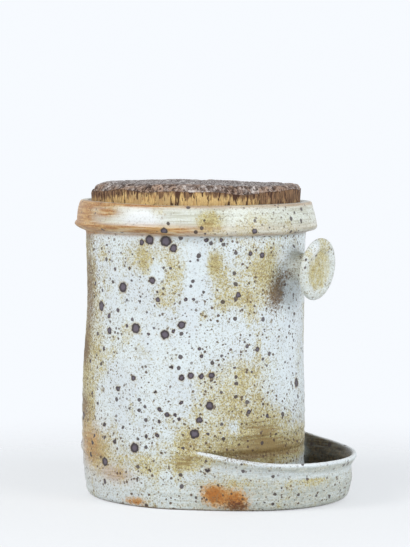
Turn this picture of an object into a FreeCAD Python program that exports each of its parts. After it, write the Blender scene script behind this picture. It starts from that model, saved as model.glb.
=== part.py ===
"""Stoneware gherkin jar with a cork lid, as a parametric FreeCAD document.

The jar is one fired piece: a thrown wall with a rolled collar, a button knob on a short neck that a
ladle hangs from, and an open drip tray wrapped round the foot under the knob. The lid is a slab of
natural cork, bark upwards, that rests in the tapered mouth. Millimetres, +Z up, origin at the centre
of the jar's foot, knob and tray towards +X.
"""

import math
import os

import FreeCAD, Part
import Sketcher
from FreeCAD import Placement, Rotation, Vector

SIZES = (
    # the jar's wall
    ("foot_radius", 81.0, "outer radius of the wall at the foot"),
    ("foot_round", 5.0, "rounding under the foot of jar and tray"),
    ("belly_swell", 2.0, "pull of the wall outwards past the foot, low on the jar"),
    ("waist_pinch", 1.6, "pull of the wall inwards from the foot, high on the jar"),
    ("neck_swell", 0.6, "how far the wall stands out past the foot under the collar"),
    ("belly_radius", "foot_radius + belly_swell", "radius of the outward pull"),
    ("waist_radius", "foot_radius - waist_pinch", "radius of the inward pull"),
    ("neck_radius", "foot_radius + neck_swell", "outer radius under the collar"),
    ("rim_height", 217.0, "height of the rim"),
    ("collar_height", 22.5, "height of the collar"),
    ("neck_height", "rim_height - collar_height", "height where the collar starts"),
    ("wall", 6.5, "thickness of the jar's wall"),
    ("floor_height", 8.0, "thickness of the jar's floor"),
    ("floor_round", 12.0, "rounding between floor and wall inside"),
    # the collar
    ("bead_stand", 8.6, "how far the rolled bead stands out past the neck"),
    ("bead_radius", "neck_radius + bead_stand", "outer radius of the rolled bead"),
    ("bead_height", 6.6, "height of the bead"),
    ("collar_groove", 1.1, "depth of the groove above the bead"),
    ("collar_stand", 4.8, "how far the collar stands out past the neck at the rim"),
    ("collar_radius", "neck_radius + collar_stand", "outer radius of the collar at the rim"),
    ("rim_round", 2.2, "rounding of the rim"),
    # the mouth and the cork
    ("mouth_inset", 4.3, "how far the mouth lies in from the neck at the rim"),
    ("mouth_radius", "neck_radius - mouth_inset", "inner radius of the mouth at the rim"),
    ("mouth_taper", 3.4, "taper of mouth and cork, in degrees"),
    ("mouth_depth", 34.0, "depth of the tapered mouth"),
    ("cork_clearance", 0.25, "gap between the cork and the mouth"),
    ("cork_depth", 18.0, "how far the cork reaches into the mouth"),
    ("cork_stand", 9.4, "height of the cork's cut side above the rim"),
    ("cork_chamfer", 1.5, "broken edge under the cork"),
    ("bark_height", 5.0, "thickness of the bark on top"),
    ("bark_round", 7.0, "how far in the bark's edge rounds over"),
    # the drip tray
    ("tray_overhang", 35.0, "how far the tray's foot stands out past the jar's"),
    ("tray_narrowing", 15.8, "how much tighter the tray's round end is than the jar's foot"),
    ("tray_radius", "foot_radius - tray_narrowing", "radius of the tray's end at the foot"),
    ("tray_centre", "foot_radius + tray_overhang - tray_radius", "from the axis to that end"),
    ("tray_blend", 75.0, "radius of the hollow curves that lead the tray into the wall"),
    ("tray_wall", 4.2, "thickness of the tray's wall"),
    ("tray_floor", 6.5, "thickness of the tray's floor"),
    ("tray_floor_round", 5.0, "rounding between the tray's floor and wall"),
    ("tray_heel", 1.5, "how far the tray's heel stands out past its foot"),
    ("tray_heel_height", 8.5, "height of the heel"),
    ("tray_swell", 3.6, "how far the swelling stands out"),
    ("tray_swell_height", 16.0, "height of the swelling"),
    ("tray_hollow", 2.9, "how far the hollow below the lip stands out"),
    ("tray_hollow_height", 25.0, "height of that hollow"),
    ("tray_lip", 6.4, "how far the turned-out lip stands out"),
    ("tray_lip_height", 34.5, "height of the lip at its lowest place, the tray's far end"),
    ("tray_lip_tilt", 6.4, "tilt of the lip's ring towards the jar, in degrees"),
    ("tray_lip_middle", 42.0, "height of the lip beside the tray's middle"),
    ("tray_lip_back", 57.0, "height that the lip's line reaches at the jar's axis"),
    # the knob
    ("knob_drop", 48.0, "from the rim down to the middle of the knob's face"),
    ("knob_height", "rim_height - knob_drop", "height of the middle of the knob's face"),
    ("knob_stand", 25.3, "how far the knob's face stands out from the neck's wall"),
    ("knob_reach", "neck_radius + knob_stand", "from the jar's axis to the knob's face"),
    ("knob_turn", 2.5, "how far round from the tray's middle the knob is set, in degrees"),
    ("knob_droop", 7.0, "how far the knob hangs below level, in degrees"),
    ("knob_radius", 23.0, "radius of the button"),
    ("knob_edge", 5.2, "thickness of the button at its edge"),
    ("knob_dome", 1.8, "how far the button's back swells towards the neck"),
    ("knob_ring_radius", 14.2, "radius of the ring in the button's face"),
    ("knob_dish", 1.0, "depth of the dish inside that ring"),
    ("knob_neck_radius", 9.3, "radius of the neck where it is thinnest"),
    ("knob_root_radius", 14.5, "radius where the neck spreads onto the wall"),
)
TOP_CLEAR = 20.0  # how far cutting shapes run past what they cut
TRAY_BLANK = 9.0  # how far the tray's blank rises past the lip's low end before the lip is cut
TRAY_SINK = 1.6  # how deep the tray's sides are rooted where they run into the wall
RING_SHIFT = 0.75  # share of a ring's standing out by which its middle moves away from the jar
ROUND_MIDDLE = 1 - math.sqrt(0.5)  # the middle of a quarter round, as a share of its radius
ALIASES = {alias for alias, _, _ in SIZES}

doc = FreeCAD.newDocument("GherkinJar")
sheet = doc.addObject("Spreadsheet::Sheet", "Sizes")
for row, (alias, value, meaning) in enumerate(SIZES, start=1):
    sheet.set(f"A{row}", meaning)
    sheet.set(f"B{row}", f"={value}")
    sheet.setAlias(f"B{row}", alias)
doc.recompute()


def bound(expression):
    """An expression over the aliases, with each one written as Sizes.alias."""
    text, word = "", ""
    for sign in f"{expression} ":
        if sign.isalnum() or sign in "_.":
            word += sign
            continue
        text += ("Sizes." + word if word in ALIASES else word) + sign
        word = ""
    return text.strip()


def size(expression):
    """The number that an expression over the aliases comes to."""
    value = sheet.evalExpression(bound(expression))
    return float(getattr(value, "Value", value))


# --- sketches ---------------------------------------------------------------------------------


def new_sketch(body, name, plane):
    """A sketch on one of the body's own origin planes."""
    sketch = body.newObject("Sketcher::SketchObject", name)
    support = next(f for f in body.Origin.OriginFeatures if f.Role == plane)
    sketch.AttachmentSupport = [(support, "")]
    sketch.MapMode = "FlatFace"
    return sketch


def at(place):
    return Vector(size(place[0]), size(place[1]), 0)


def pin(sketch, geometry, vertex, place):
    """Holds a point of the sketch at (x, y), each an expression over the sheet."""
    for kind, axis, expression in (("DistanceX", -2, place[0]), ("DistanceY", -1, place[1])):
        if expression == "0":
            sketch.addConstraint(Sketcher.Constraint("PointOnObject", geometry, vertex, axis))
            continue
        distance = Sketcher.Constraint(kind, -1, 1, geometry, vertex, size(expression))
        index = sketch.addConstraint(distance)
        sketch.setExpression(f"Constraints[{index}]", bound(expression))


# each of these gives the new geometry, its first vertex and its last


def add_line(sketch, start, end):
    return sketch.addGeometry(Part.LineSegment(at(start), at(end))), 1, 2


def add_arc(sketch, start, through, end):
    """An arc through three pinned places; a sketch keeps every arc anticlockwise."""
    ends = [at(start), at(end)]
    turn = (at(through) - ends[0]).cross(ends[1] - at(through)).z
    first, last = (1, 2) if turn > 0 else (2, 1)
    arc = sketch.addGeometry(Part.Arc(ends[first - 1], at(through), ends[last - 1]))
    on_curve(sketch, arc, through)
    return arc, first, last


def on_curve(sketch, geometry, place):
    """Makes an arc pass through a pinned place."""
    point = sketch.addGeometry(Part.Point(at(place)), True)
    pin(sketch, point, 1, place)
    sketch.addConstraint(Sketcher.Constraint("PointOnObject", point, 1, geometry))


def add_curve(sketch, *places):
    """A cubic B-spline; its inner poles are pinned, its ends are left to the outline."""
    poles = [at(place) for place in places]
    curve = sketch.addGeometry(Part.BSplineCurve(poles, None, None, False, 3, None, False))
    for index, pole in enumerate(poles):
        handle = sketch.addGeometry(Part.Circle(pole, Vector(0, 0, 1), 1.0), True)
        sketch.addConstraint(Sketcher.Constraint("Weight", handle, 1.0))
        sketch.addConstraint(
            Sketcher.Constraint(
                "InternalAlignment:Sketcher::BSplineControlPoint", handle, 3, curve, index
            )
        )
        if 0 < index < len(poles) - 1:
            pin(sketch, handle, 3, places[index])
    return curve, 1, 2


ADD = {"line": add_line, "arc": add_arc, "curve": add_curve}


def outline(sketch, start, *steps):
    """A closed outline. A step names its kind, then its places up to and with its end."""
    pieces = []
    here = start
    for kind, *places in steps:
        pieces.append((*ADD[kind](sketch, here, *places), here))
        here = places[-1]
    before, _, before_end, _ = pieces[-1]
    for piece, first, last, place in pieces:
        pin(sketch, piece, first, place)
        sketch.addConstraint(Sketcher.Constraint("Coincident", before, before_end, piece, first))
        before, before_end = piece, last


def rounded(corner_x, corner_z, radius, to_x, to_z):
    """The middle of the quarter round that takes off a corner."""
    return (
        f"{corner_x} {to_x} {radius} * {ROUND_MIDDLE:.6f}",
        f"{corner_z} {to_z} {radius} * {ROUND_MIDDLE:.6f}",
    )


def new_body(name):
    return doc.addObject("PartDesign::Body", name)


def turned(name, start, *steps):
    """A body thrown on the wheel: a closed outline turned once about Z."""
    body = new_body(name)
    sketch = new_sketch(body, name + "Outline", "XZ_Plane")
    outline(sketch, start, *steps)
    turn = body.newObject("PartDesign::Revolution", name + "Turn")
    turn.Profile = sketch
    turn.ReferenceAxis = (sketch, ["V_Axis"])
    turn.Angle = 360.0
    return body


# --- the jar's wall, collar and inside ----------------------------------------------------------


def wall_curve(inset):
    """The poles of the wall's curve from just above the foot to the collar."""
    return (
        "curve",
        (f"belly_radius - {inset}", "neck_height * 0.19"),
        (f"belly_radius - {inset}", "neck_height * 0.45"),
        (f"waist_radius - {inset}", "neck_height * 0.74"),
        (f"neck_radius - {inset}", "neck_height"),
    )


def jar_blank():
    """The jar's outside up to the rim, solid."""
    foot, heel = ("foot_radius - foot_round", "0"), ("foot_radius", "foot_round")
    return turned(
        "JarBlank",
        ("0", "0"),
        ("line", foot),
        ("arc", rounded("foot_radius", "0", "foot_round", "-", "+"), heel),
        wall_curve("0"),
        ("line", ("neck_radius", "rim_height - rim_round")),
        ("line", ("0", "rim_height - rim_round")),
        ("line", ("0", "0")),
    )


def collar():
    """The collar: a rolled bead, the groove above it, and a face that leans in to the rim."""
    root = "neck_radius - wall * 0.5"
    return turned(
        "Collar",
        (root, "neck_height"),
        ("line", ("neck_radius + 0.6", "neck_height")),
        (
            "arc",
            ("bead_radius - 1.5", "neck_height + bead_height * 0.25"),
            ("bead_radius", "neck_height + bead_height * 0.65"),
        ),
        (
            "arc",
            ("bead_radius - 0.35", "neck_height + bead_height * 0.95"),
            ("bead_radius - collar_groove", "neck_height + bead_height * 1.15"),
        ),
        ("line", ("collar_radius", "rim_height - rim_round")),
        (
            "arc",
            rounded("collar_radius", "rim_height", "rim_round", "-", "-"),
            ("collar_radius - rim_round", "rim_height"),
        ),
        ("line", (root, "rim_height")),
        ("line", (root, "neck_height")),
    )


def mouth_line(place, inset="0"):
    """The mouth's radius at a distance below the rim, less an inset."""
    return f"mouth_radius - ({place}) * tan(mouth_taper) - {inset}"


def cavity():
    """The space inside the jar: floor, wall, tapered mouth and the rim's rounded inner edge."""
    wall_foot = ("foot_radius - wall", "floor_height + floor_round")
    return turned(
        "Cavity",
        ("0", "floor_height"),
        ("line", ("foot_radius - wall - floor_round", "floor_height")),
        (
            "arc",
            rounded("(foot_radius - wall)", "floor_height", "floor_round", "-", "+"),
            wall_foot,
        ),
        (
            "curve",
            ("belly_radius - wall", "neck_height * 0.3"),
            ("waist_radius - wall", "neck_height * 0.74"),
            (mouth_line("mouth_depth"), "rim_height - mouth_depth"),
        ),
        ("line", (mouth_line("rim_round"), "rim_height - rim_round")),
        (
            "arc",
            rounded("mouth_radius", "rim_height", "rim_round", "+", "-"),
            ("mouth_radius + rim_round", "rim_height"),
        ),
        ("line", ("mouth_radius + rim_round", f"rim_height + {TOP_CLEAR}")),
        ("line", ("0", f"rim_height + {TOP_CLEAR}")),
        ("line", ("0", "floor_height")),
    )


# --- the drip tray ------------------------------------------------------------------------------


def wall_swell(share):
    """How far the wall stands out past its foot, as a share of the belly's pull."""
    return f"(belly_radius - foot_radius) * {share}"


TRAY_RINGS = (
    # name, height at the tray's far end, how far the ring stands out past the foot, and how far
    # the jar's wall stands out past its own foot where the ring runs into it
    ("Sole", "0", "0 - foot_round * 0.7", "0 - foot_round"),
    ("Turn", "foot_round * 0.3", "0 - foot_round * 0.15", "0 - foot_round * 0.3"),
    ("Foot", "foot_round * 0.9", "tray_heel * 0.5", wall_swell(0.0)),
    ("Heel", "tray_heel_height", "tray_heel", wall_swell(0.15)),
    ("Swell", "tray_swell_height", "tray_swell", wall_swell(0.4)),
    ("Hollow", "tray_hollow_height", "tray_hollow", wall_swell(0.62)),
    ("Lip", "tray_lip_height", "tray_lip", wall_swell(0.78)),
    ("Brim", f"tray_lip_height + {TRAY_BLANK / 3}", "tray_lip * 1.05", wall_swell(0.8)),
    ("Blank", f"tray_lip_height + {TRAY_BLANK}", "tray_lip * 1.1", wall_swell(0.82)),
)
HOLLOW_RINGS = (
    ("Floor", "tray_floor", "0 - tray_floor_round", wall_swell(0.0)),
    (
        "FloorTurn",
        "tray_floor + tray_floor_round * 0.35",
        "0 - tray_floor_round * 0.15",
        wall_swell(0.1),
    ),
    *TRAY_RINGS[4:],
)


def tray_ring(body, name, ring, wall_off, level):
    """A ring of the tray, tilted up towards the jar by its height above the level one."""
    ring_name, height, stand, wall_stand = ring
    sketch = new_sketch(body, name + ring_name, "XY_Plane")
    tilt = f"tray_lip_tilt * ({height} - {level}) / (tray_lip_height - {level})"
    middle = f"tray_centre + ({stand}) * {RING_SHIFT}"
    radius = f"tray_radius + ({stand}) - {wall_off}"
    sketch.AttachmentOffset = Placement(Vector(), Rotation(Vector(0, 1, 0), size(tilt)))
    sketch.setExpression("AttachmentOffset.Rotation.Angle", bound(tilt))
    rise = f"{height} + ({middle} + {radius}) * tan({tilt})"
    sketch.setExpression("AttachmentOffset.Base.z", bound(rise))
    root = f"foot_radius + ({wall_stand}) - {TRAY_SINK} - {wall_off}"
    add_horned_ring(sketch, middle, radius, root, f"tray_blend + {wall_off}")
    return sketch


def add_horned_ring(sketch, middle, radius, root, blend):
    """The tray's round end, led into the jar's wall on each side by a hollow curve.

    Each hollow curve's centre is found as with compasses, from the jar's axis and from the
    middle of the round end, so the curve touches the wall's circle and the end's circle.
    """
    far, near = f"({root}) + ({blend})", f"({radius}) + ({blend})"
    reach, far_span, near_span = size(middle), size(far), size(near)
    centre_x = (far_span**2 - near_span**2 + reach**2) / (2 * reach)
    centre_y = math.sqrt(far_span**2 - centre_x**2)
    axis, round_centre = Vector(), Vector(reach, 0, 0)
    hollows, tips = [], []
    for side in (-1, 1):
        centre = Vector(centre_x, side * centre_y, 0)
        on_wall = centre * (size(root) / far_span)
        on_end = round_centre + (centre - round_centre) * (size(radius) / near_span)
        start, end = (on_end, on_wall) if side < 0 else (on_wall, on_end)
        circle = Part.Circle(centre, Vector(0, 0, 1), size(blend))
        hollow = sketch.addGeometry(
            Part.ArcOfCircle(circle, circle.parameter(start), circle.parameter(end))
        )
        to_wall = sketch.addGeometry(Part.LineSegment(axis, centre), True)
        to_end = sketch.addGeometry(Part.LineSegment(round_centre, centre), True)
        sketch.addConstraint(Sketcher.Constraint("Coincident", -1, 1, to_wall, 1))
        sketch.addConstraint(Sketcher.Constraint("Coincident", hollow, 3, to_wall, 2))
        sketch.addConstraint(Sketcher.Constraint("Coincident", hollow, 3, to_end, 2))
        wall_end, round_end = (2, 1) if side < 0 else (1, 2)
        sketch.addConstraint(Sketcher.Constraint("PointOnObject", hollow, wall_end, to_wall))
        sketch.addConstraint(Sketcher.Constraint("PointOnObject", hollow, round_end, to_end))
        span = sketch.addConstraint(Sketcher.Constraint("Distance", to_wall, far_span))
        sketch.setExpression(f"Constraints[{span}]", bound(far))
        curve = sketch.addConstraint(Sketcher.Constraint("Radius", hollow, size(blend)))
        sketch.setExpression(f"Constraints[{curve}]", bound(blend))
        hollows.append((hollow, wall_end, round_end, to_end))
        tips.append((on_wall, on_end))
    circle = Part.Circle(round_centre, Vector(0, 0, 1), size(radius))
    ends = [circle.parameter(on_end) for _, on_end in tips]
    round_arc = sketch.addGeometry(Part.ArcOfCircle(circle, *ends))
    pin(sketch, round_arc, 3, (middle, "0"))
    back = sketch.addGeometry(Part.LineSegment(tips[1][0], tips[0][0]))
    for vertex, (hollow, wall_end, round_end, to_end) in enumerate(hollows, start=1):
        join = sketch.addConstraint
        join(Sketcher.Constraint("Coincident", hollow, round_end, round_arc, vertex))
        join(Sketcher.Constraint("Coincident", hollow, wall_end, back, 3 - vertex))
        join(Sketcher.Constraint("Coincident", round_arc, 3, to_end, 1))
    rounding = sketch.addConstraint(Sketcher.Constraint("Radius", round_arc, size(radius)))
    sketch.setExpression(f"Constraints[{rounding}]", bound(radius))


def through_rings(body, kind, name, rings):
    loft = body.newObject(f"PartDesign::{kind}Loft", name)
    loft.Profile = rings[0]
    loft.Sections = rings[1:]
    return loft


def tray():
    """A horned dish: its wall and floor, its lip cut to a line that climbs towards the jar."""
    body = new_body("Tray")
    outside = [tray_ring(body, "Outer", ring, "0", "0") for ring in TRAY_RINGS]
    through_rings(body, "Additive", "TrayOutside", outside)
    inside = [tray_ring(body, "Inner", ring, "tray_wall", "tray_floor") for ring in HOLLOW_RINGS]
    through_rings(body, "Subtractive", "TrayInside", inside)
    cut_lip(body)
    return body


def cut_lip(body):
    """Takes the blank down to the lip's line, an arc seen from the side."""
    sketch = new_sketch(body, "LipLine", "XZ_Plane")
    top = f"tray_lip_back + {TOP_CLEAR} * 2"
    far = f"tray_centre + tray_lip * {RING_SHIFT} + tray_radius + tray_lip"
    past = f"{far} + {TOP_CLEAR}"
    near = f"0 - {TOP_CLEAR} * 2"
    outline(
        sketch,
        (near, "tray_lip_back"),
        ("line", ("0", "tray_lip_back")),
        ("arc", ("tray_centre", "tray_lip_middle"), (far, "tray_lip_height")),
        ("line", (past, "tray_lip_height")),
        ("line", (past, top)),
        ("line", (near, top)),
        ("line", (near, "tray_lip_back")),
    )
    pocket = body.newObject("PartDesign::Pocket", "LipCut")
    pocket.Profile = sketch
    pocket.Type = "Length"
    pocket.SideType = "Symmetric"
    pocket.setExpression("Length", bound(f"(tray_radius + tray_lip) * 2 + {TOP_CLEAR}"))
    return pocket


# --- the knob -------------------------------------------------------------------------------------


def knob():
    """The button and its neck, turned about the knob's own axis and set into the wall."""
    back = "knob_reach - knob_edge"
    root = "neck_radius - wall * 0.6"
    body = turned(
        "Knob",
        ("0", root),
        ("line", ("knob_root_radius", root)),
        (
            "curve",
            ("knob_neck_radius", "neck_radius + (knob_reach - neck_radius) * 0.12"),
            ("knob_neck_radius - 1", f"{back} - (knob_reach - neck_radius) * 0.2"),
            ("knob_neck_radius + 2", f"{back} - knob_dome"),
            ("knob_radius - 2", back),
        ),
        (
            "arc",
            ("knob_radius", f"{back} + knob_edge * 0.5"),
            ("knob_radius - 1.8", "knob_reach"),
        ),
        ("line", ("knob_ring_radius", "knob_reach")),
        ("line", ("knob_ring_radius - knob_dish * 1.5", "knob_reach - knob_dish")),
        ("line", ("0", "knob_reach - knob_dish")),
        ("line", ("0", root)),
    )
    rise = "vector(0; 0; knob_height + knob_reach * tan(knob_droop))"
    turn = "rotationz(0 - knob_turn) * rotationy(90 + knob_droop)"
    body.setExpression("Placement", bound(f"placement({rise}; {turn})"))
    return body


# --- the cork lid -----------------------------------------------------------------------------------


def cork_lid():
    """A tapered slab of cork whose bark, left on top, rounds over at its edge."""
    sole = "rim_height - cork_depth"
    brim = "rim_height + cork_stand"
    top = f"{brim} + bark_height"
    brim_radius = mouth_line("0 - cork_stand", "cork_clearance")
    return turned(
        "CorkLid",
        ("0", sole),
        ("line", (mouth_line("cork_depth", "cork_clearance - cork_chamfer"), sole)),
        (
            "line",
            (mouth_line("cork_depth - cork_chamfer", "cork_clearance"), f"{sole} + cork_chamfer"),
        ),
        ("line", (brim_radius, brim)),
        (
            "arc",
            (f"{brim_radius} - bark_round * {ROUND_MIDDLE:.6f}", f"{brim} + bark_height * 0.7"),
            (f"{brim_radius} - bark_round", top),
        ),
        ("line", ("0", top)),
        ("line", ("0", sole)),
    )


# --- assembly and output ----------------------------------------------------------------------------


def stoneware_jar():
    """Wall, collar, tray and knob joined, then opened by the cavity, as one fired piece."""
    joined = doc.addObject("Part::MultiFuse", "JoinedClay")
    joined.Shapes = [jar_blank(), collar(), tray(), knob()]
    jar = doc.addObject("Part::Cut", "StonewareJar")
    jar.Base = joined
    jar.Tool = cavity()
    return jar


def check_document(nodes):
    """Stops if any object failed, or if a node isn't one good solid."""
    for thing in doc.Objects:
        if {"Invalid", "Error"} & set(thing.State):
            raise RuntimeError(f"{thing.Name} failed: {thing.State}")
    for name, thing in nodes.items():
        shape = thing.Shape
        if shape.isNull() or not shape.isValid() or len(shape.Solids) != 1:
            raise RuntimeError(f"{name} is not one valid solid")


def main():
    nodes = {"stoneware_jar": stoneware_jar(), "cork_lid": cork_lid()}
    for name, thing in nodes.items():
        thing.Label = name
    doc.recompute()
    check_document(nodes)
    os.makedirs("parts", exist_ok=True)
    for name, thing in nodes.items():
        thing.Shape.exportStep(f"parts/{name}.step")
        box = thing.Shape.BoundBox
        print(
            f"{name}: {thing.Shape.Volume / 1000:.1f} cm3, "
            f"{box.XLength:.1f} x {box.YLength:.1f} x {box.ZLength:.1f} mm"
        )


main()
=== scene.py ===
import math
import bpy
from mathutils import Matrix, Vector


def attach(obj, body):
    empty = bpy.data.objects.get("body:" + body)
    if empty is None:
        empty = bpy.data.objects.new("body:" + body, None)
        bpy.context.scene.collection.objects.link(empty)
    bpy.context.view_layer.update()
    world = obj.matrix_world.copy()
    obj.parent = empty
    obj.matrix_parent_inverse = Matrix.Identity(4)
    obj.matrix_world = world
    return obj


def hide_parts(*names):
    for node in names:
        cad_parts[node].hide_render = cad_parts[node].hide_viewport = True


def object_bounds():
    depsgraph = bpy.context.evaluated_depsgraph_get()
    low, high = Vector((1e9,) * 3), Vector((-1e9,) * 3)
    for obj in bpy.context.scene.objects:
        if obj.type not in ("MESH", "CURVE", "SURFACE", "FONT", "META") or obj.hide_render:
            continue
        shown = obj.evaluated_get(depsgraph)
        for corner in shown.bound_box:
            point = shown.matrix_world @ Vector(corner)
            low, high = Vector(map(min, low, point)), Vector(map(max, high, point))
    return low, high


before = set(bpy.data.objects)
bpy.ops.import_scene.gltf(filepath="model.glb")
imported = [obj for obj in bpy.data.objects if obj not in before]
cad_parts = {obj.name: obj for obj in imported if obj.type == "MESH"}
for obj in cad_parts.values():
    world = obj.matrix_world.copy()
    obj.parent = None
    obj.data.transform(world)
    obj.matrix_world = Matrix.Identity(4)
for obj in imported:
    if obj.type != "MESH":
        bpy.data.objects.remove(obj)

from types import SimpleNamespace

import bpy
import numpy as np
from mathutils import Vector

# A studio stoneware gherkin jar with a cork lid, on a pale floor. Shapes are worked out in
# millimetres and written in metres: +Z up, the jar's axis at the origin, knob and tray to +X.

MM = 0.001
cad_box = [list(corner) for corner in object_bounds()]

# the jar's sizes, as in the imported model
FOOT_RADIUS, FOOT_ROUND = 81, 5
NECK_RADIUS, NECK_HEIGHT, RIM_HEIGHT = 81.6, 194.5, 217
WALL, FLOOR = 6.5, 8
BELLY_RADIUS, WAIST_RADIUS, WAIST_HEIGHT = 83, 79.4, 143.9
WALL_POLES = (
    (FOOT_RADIUS, FOOT_ROUND), (BELLY_RADIUS, 37), (BELLY_RADIUS, 87.5),
    (WAIST_RADIUS, WAIST_HEIGHT), (NECK_RADIUS, NECK_HEIGHT),
)
BEAD_RADIUS, COLLAR_RADIUS, MOUTH_RADIUS = 90.2, 86.4, 77.3
MOUTH_TAPER = math.tan(math.radians(3.4))
TRAY_MIDDLE, TRAY_RADIUS, TRAY_WALL, TRAY_FLOOR = 50.8, 65.2, 4.2, 6.5
TRAY_LIP, TRAY_CLIMB, TRAY_CLIMB_MIDDLE = 34.5, 24.2, 61.1
TRAY_STAND = (
    (0, -3.6), (1.4, -0.8), (4.5, 0.8), (8.5, 1.5), (16, 3.6), (25, 2.9), (TRAY_LIP, 6.4),
)
KNOB_HEIGHT, KNOB_REACH, KNOB_EDGE = 169, 106.9, 5.2
KNOB_TURN, KNOB_DROOP = math.radians(-2.5), math.radians(7)
CORK_SOLE, CORK_BRIM, CORK_TOP, CORK_GAP = 199, 226.8, 231.4, 0.25

# how wide the clay blends where two of its parts are joined
TRAY_CORNER, TRAY_INSIDE, TRAY_FOOT, KNOB_ROOT, MOUTH_EDGE = 22, 5, 2.4, 5, 1.2


def facing(degrees):
    """The level way at a turn round the jar's axis."""
    return math.cos(math.radians(degrees)), math.sin(math.radians(degrees))


CAMERA_TURN = 30
ACROSS = facing(CAMERA_TURN)  # from the jar's left to its right, as the camera sees it


# --- outlines and distances ---


def smooth_line(poles, count=40):
    """Points along a clamped cubic curve over the poles."""
    poles = np.asarray(poles, float)
    spans = len(poles) - 3
    knots = np.concatenate([np.zeros(3), np.arange(spans + 1), np.full(3, spans)]).astype(float)
    place = np.linspace(0, spans - 1e-9, count)[:, None]
    share = ((knots[:-1] <= place) & (place < knots[1:])).astype(float)
    for degree in range(1, 4):
        width = knots[degree:] - knots[:-degree]
        width = np.where(width > 0, width, np.inf)
        rising = (place - knots[: -degree - 1]) / width[:-1] * share[:, :-1]
        falling = (knots[degree + 1 :] - place) / width[1:] * share[:, 1:]
        share = rising + falling
    return share @ poles


def arc(centre, radius, start, end, count=8):
    """Points along an arc, its angles in degrees."""
    turn = np.radians(np.linspace(start, end, count))
    return np.stack([centre[0] + radius * np.cos(turn), centre[1] + radius * np.sin(turn)], 1)


def distance_table(points, low, high, step, closed=True):
    """Distances from an outline over a flat grid; inside a closed one they are below nothing."""
    across = np.arange(low[0], high[0] + step, step)
    up = np.arange(low[1], high[1] + step, step)
    a, b = np.meshgrid(across, up, indexing="ij")
    nearest = np.full(a.shape, 1e9)
    inside = np.zeros(a.shape, bool)
    ends = np.roll(points, -1, 0) if closed else points[1:]
    for (start_a, start_b), (end_a, end_b) in zip(points, ends):
        run_a, run_b = end_a - start_a, end_b - start_b
        length = run_a**2 + run_b**2
        if length == 0:
            continue
        along = np.clip(((a - start_a) * run_a + (b - start_b) * run_b) / length, 0, 1)
        gap = (a - start_a - along * run_a) ** 2 + (b - start_b - along * run_b) ** 2
        np.minimum(nearest, gap, out=nearest)
        if closed and run_b:
            crossed = (start_b > b) != (end_b > b)
            inside ^= crossed & (a < start_a + (b - start_b) / run_b * run_a)
    return np.where(inside, -1, 1) * np.sqrt(nearest)


class Outline:
    """A flat outline that gives its distance at any place, from a table."""

    def __init__(self, pieces, low, high, step=0.5, closed=True):
        points = np.concatenate([np.atleast_2d(np.asarray(piece, float)) for piece in pieces])
        self.low, self.step = low, step
        self.table = distance_table(points, low, high, step, closed).astype(np.float32)

    def __call__(self, across, up):
        size_a, size_b = self.table.shape
        a = np.clip((across - self.low[0]) / self.step, 0, size_a - 1.001)
        b = np.clip((up - self.low[1]) / self.step, 0, size_b - 1.001)
        i, j = a.astype(np.int32), b.astype(np.int32)
        a, b = a - i, b - j
        table = self.table
        low = table[i, j] * (1 - b) + table[i, j + 1] * b
        high = table[i + 1, j] * (1 - b) + table[i + 1, j + 1] * b
        return low * (1 - a) + high * a


def soft_min(a, b, blend):
    """The smaller of two distances, with the crease between them filled."""
    near = np.clip(0.5 + 0.5 * (b - a) / blend, 0, 1)
    return b + (a - b) * near - blend * near * (1 - near)


def soft_max(a, b, blend):
    return -soft_min(-a, -b, blend)


def ease(low, high, value):
    """Rises smoothly from 0 at low to 1 at high."""
    share = np.clip((value - low) / (high - low), 0, 1)
    return share * share * (3 - 2 * share)


def bump_at(value, middle, width):
    return np.exp(-(((value - middle) / width) ** 2))


def turn_between(turn, middle_deg):
    """The signed turn, in degrees, from a direction."""
    return (np.degrees(turn) - middle_deg + 180) % 360 - 180


# --- the jar's outlines ---

wall_line = smooth_line(WALL_POLES)
AXIS = -60  # how far past the axis an outline runs, so that no edge of it lies near the axis
# the low and the high corner of the tables of distances
JAR_TABLE, TRAY_TABLE = ((0, -8), (134, 232)), ((-90, -12), (30, 64))
KNOB_TABLE = ((0, 64), (44, 120))

# the collar's side with a rolled bead, at the jar's left, and without one
COLLAR_BEADED = (
    (NECK_RADIUS + 0.1, 195.2), (NECK_RADIUS + 1.5, 196), (BEAD_RADIUS - 4, 197.2),
    (BEAD_RADIUS - 1.4, 198.9), (BEAD_RADIUS - 0.1, 200.5), (BEAD_RADIUS - 0.2, 201.7),
    (BEAD_RADIUS - 1.2, 202.9), (BEAD_RADIUS - 2.1, 203.6), (BEAD_RADIUS - 1.8, 205),
    (BEAD_RADIUS - 2.4, 209.5), (BEAD_RADIUS - 3.5, 213.9),
)
COLLAR_PLAIN = (
    (NECK_RADIUS, 193.9), (NECK_RADIUS + 2.6, 194.6), (BEAD_RADIUS - 2.2, 195.6),
    (BEAD_RADIUS - 0.5, 197.1), (BEAD_RADIUS - 0.2, 198.8), (BEAD_RADIUS - 0.8, 202),
    (BEAD_RADIUS - 2, 207.5), (BEAD_RADIUS - 3.6, 213.4),
)


def jar_outline(collar):
    """The jar's outside from foot to rim, with the collar."""
    foot = arc((FOOT_RADIUS - FOOT_ROUND, FOOT_ROUND), FOOT_ROUND, -90, 0)
    rim = arc((COLLAR_RADIUS - 2.3, RIM_HEIGHT - 2.3), 2.1, 0, 90)
    wall = wall_line[1:-2]
    return Outline([(AXIS, 0), foot, wall, collar, rim, (AXIS, RIM_HEIGHT - 0.2)], *JAR_TABLE)


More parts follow.
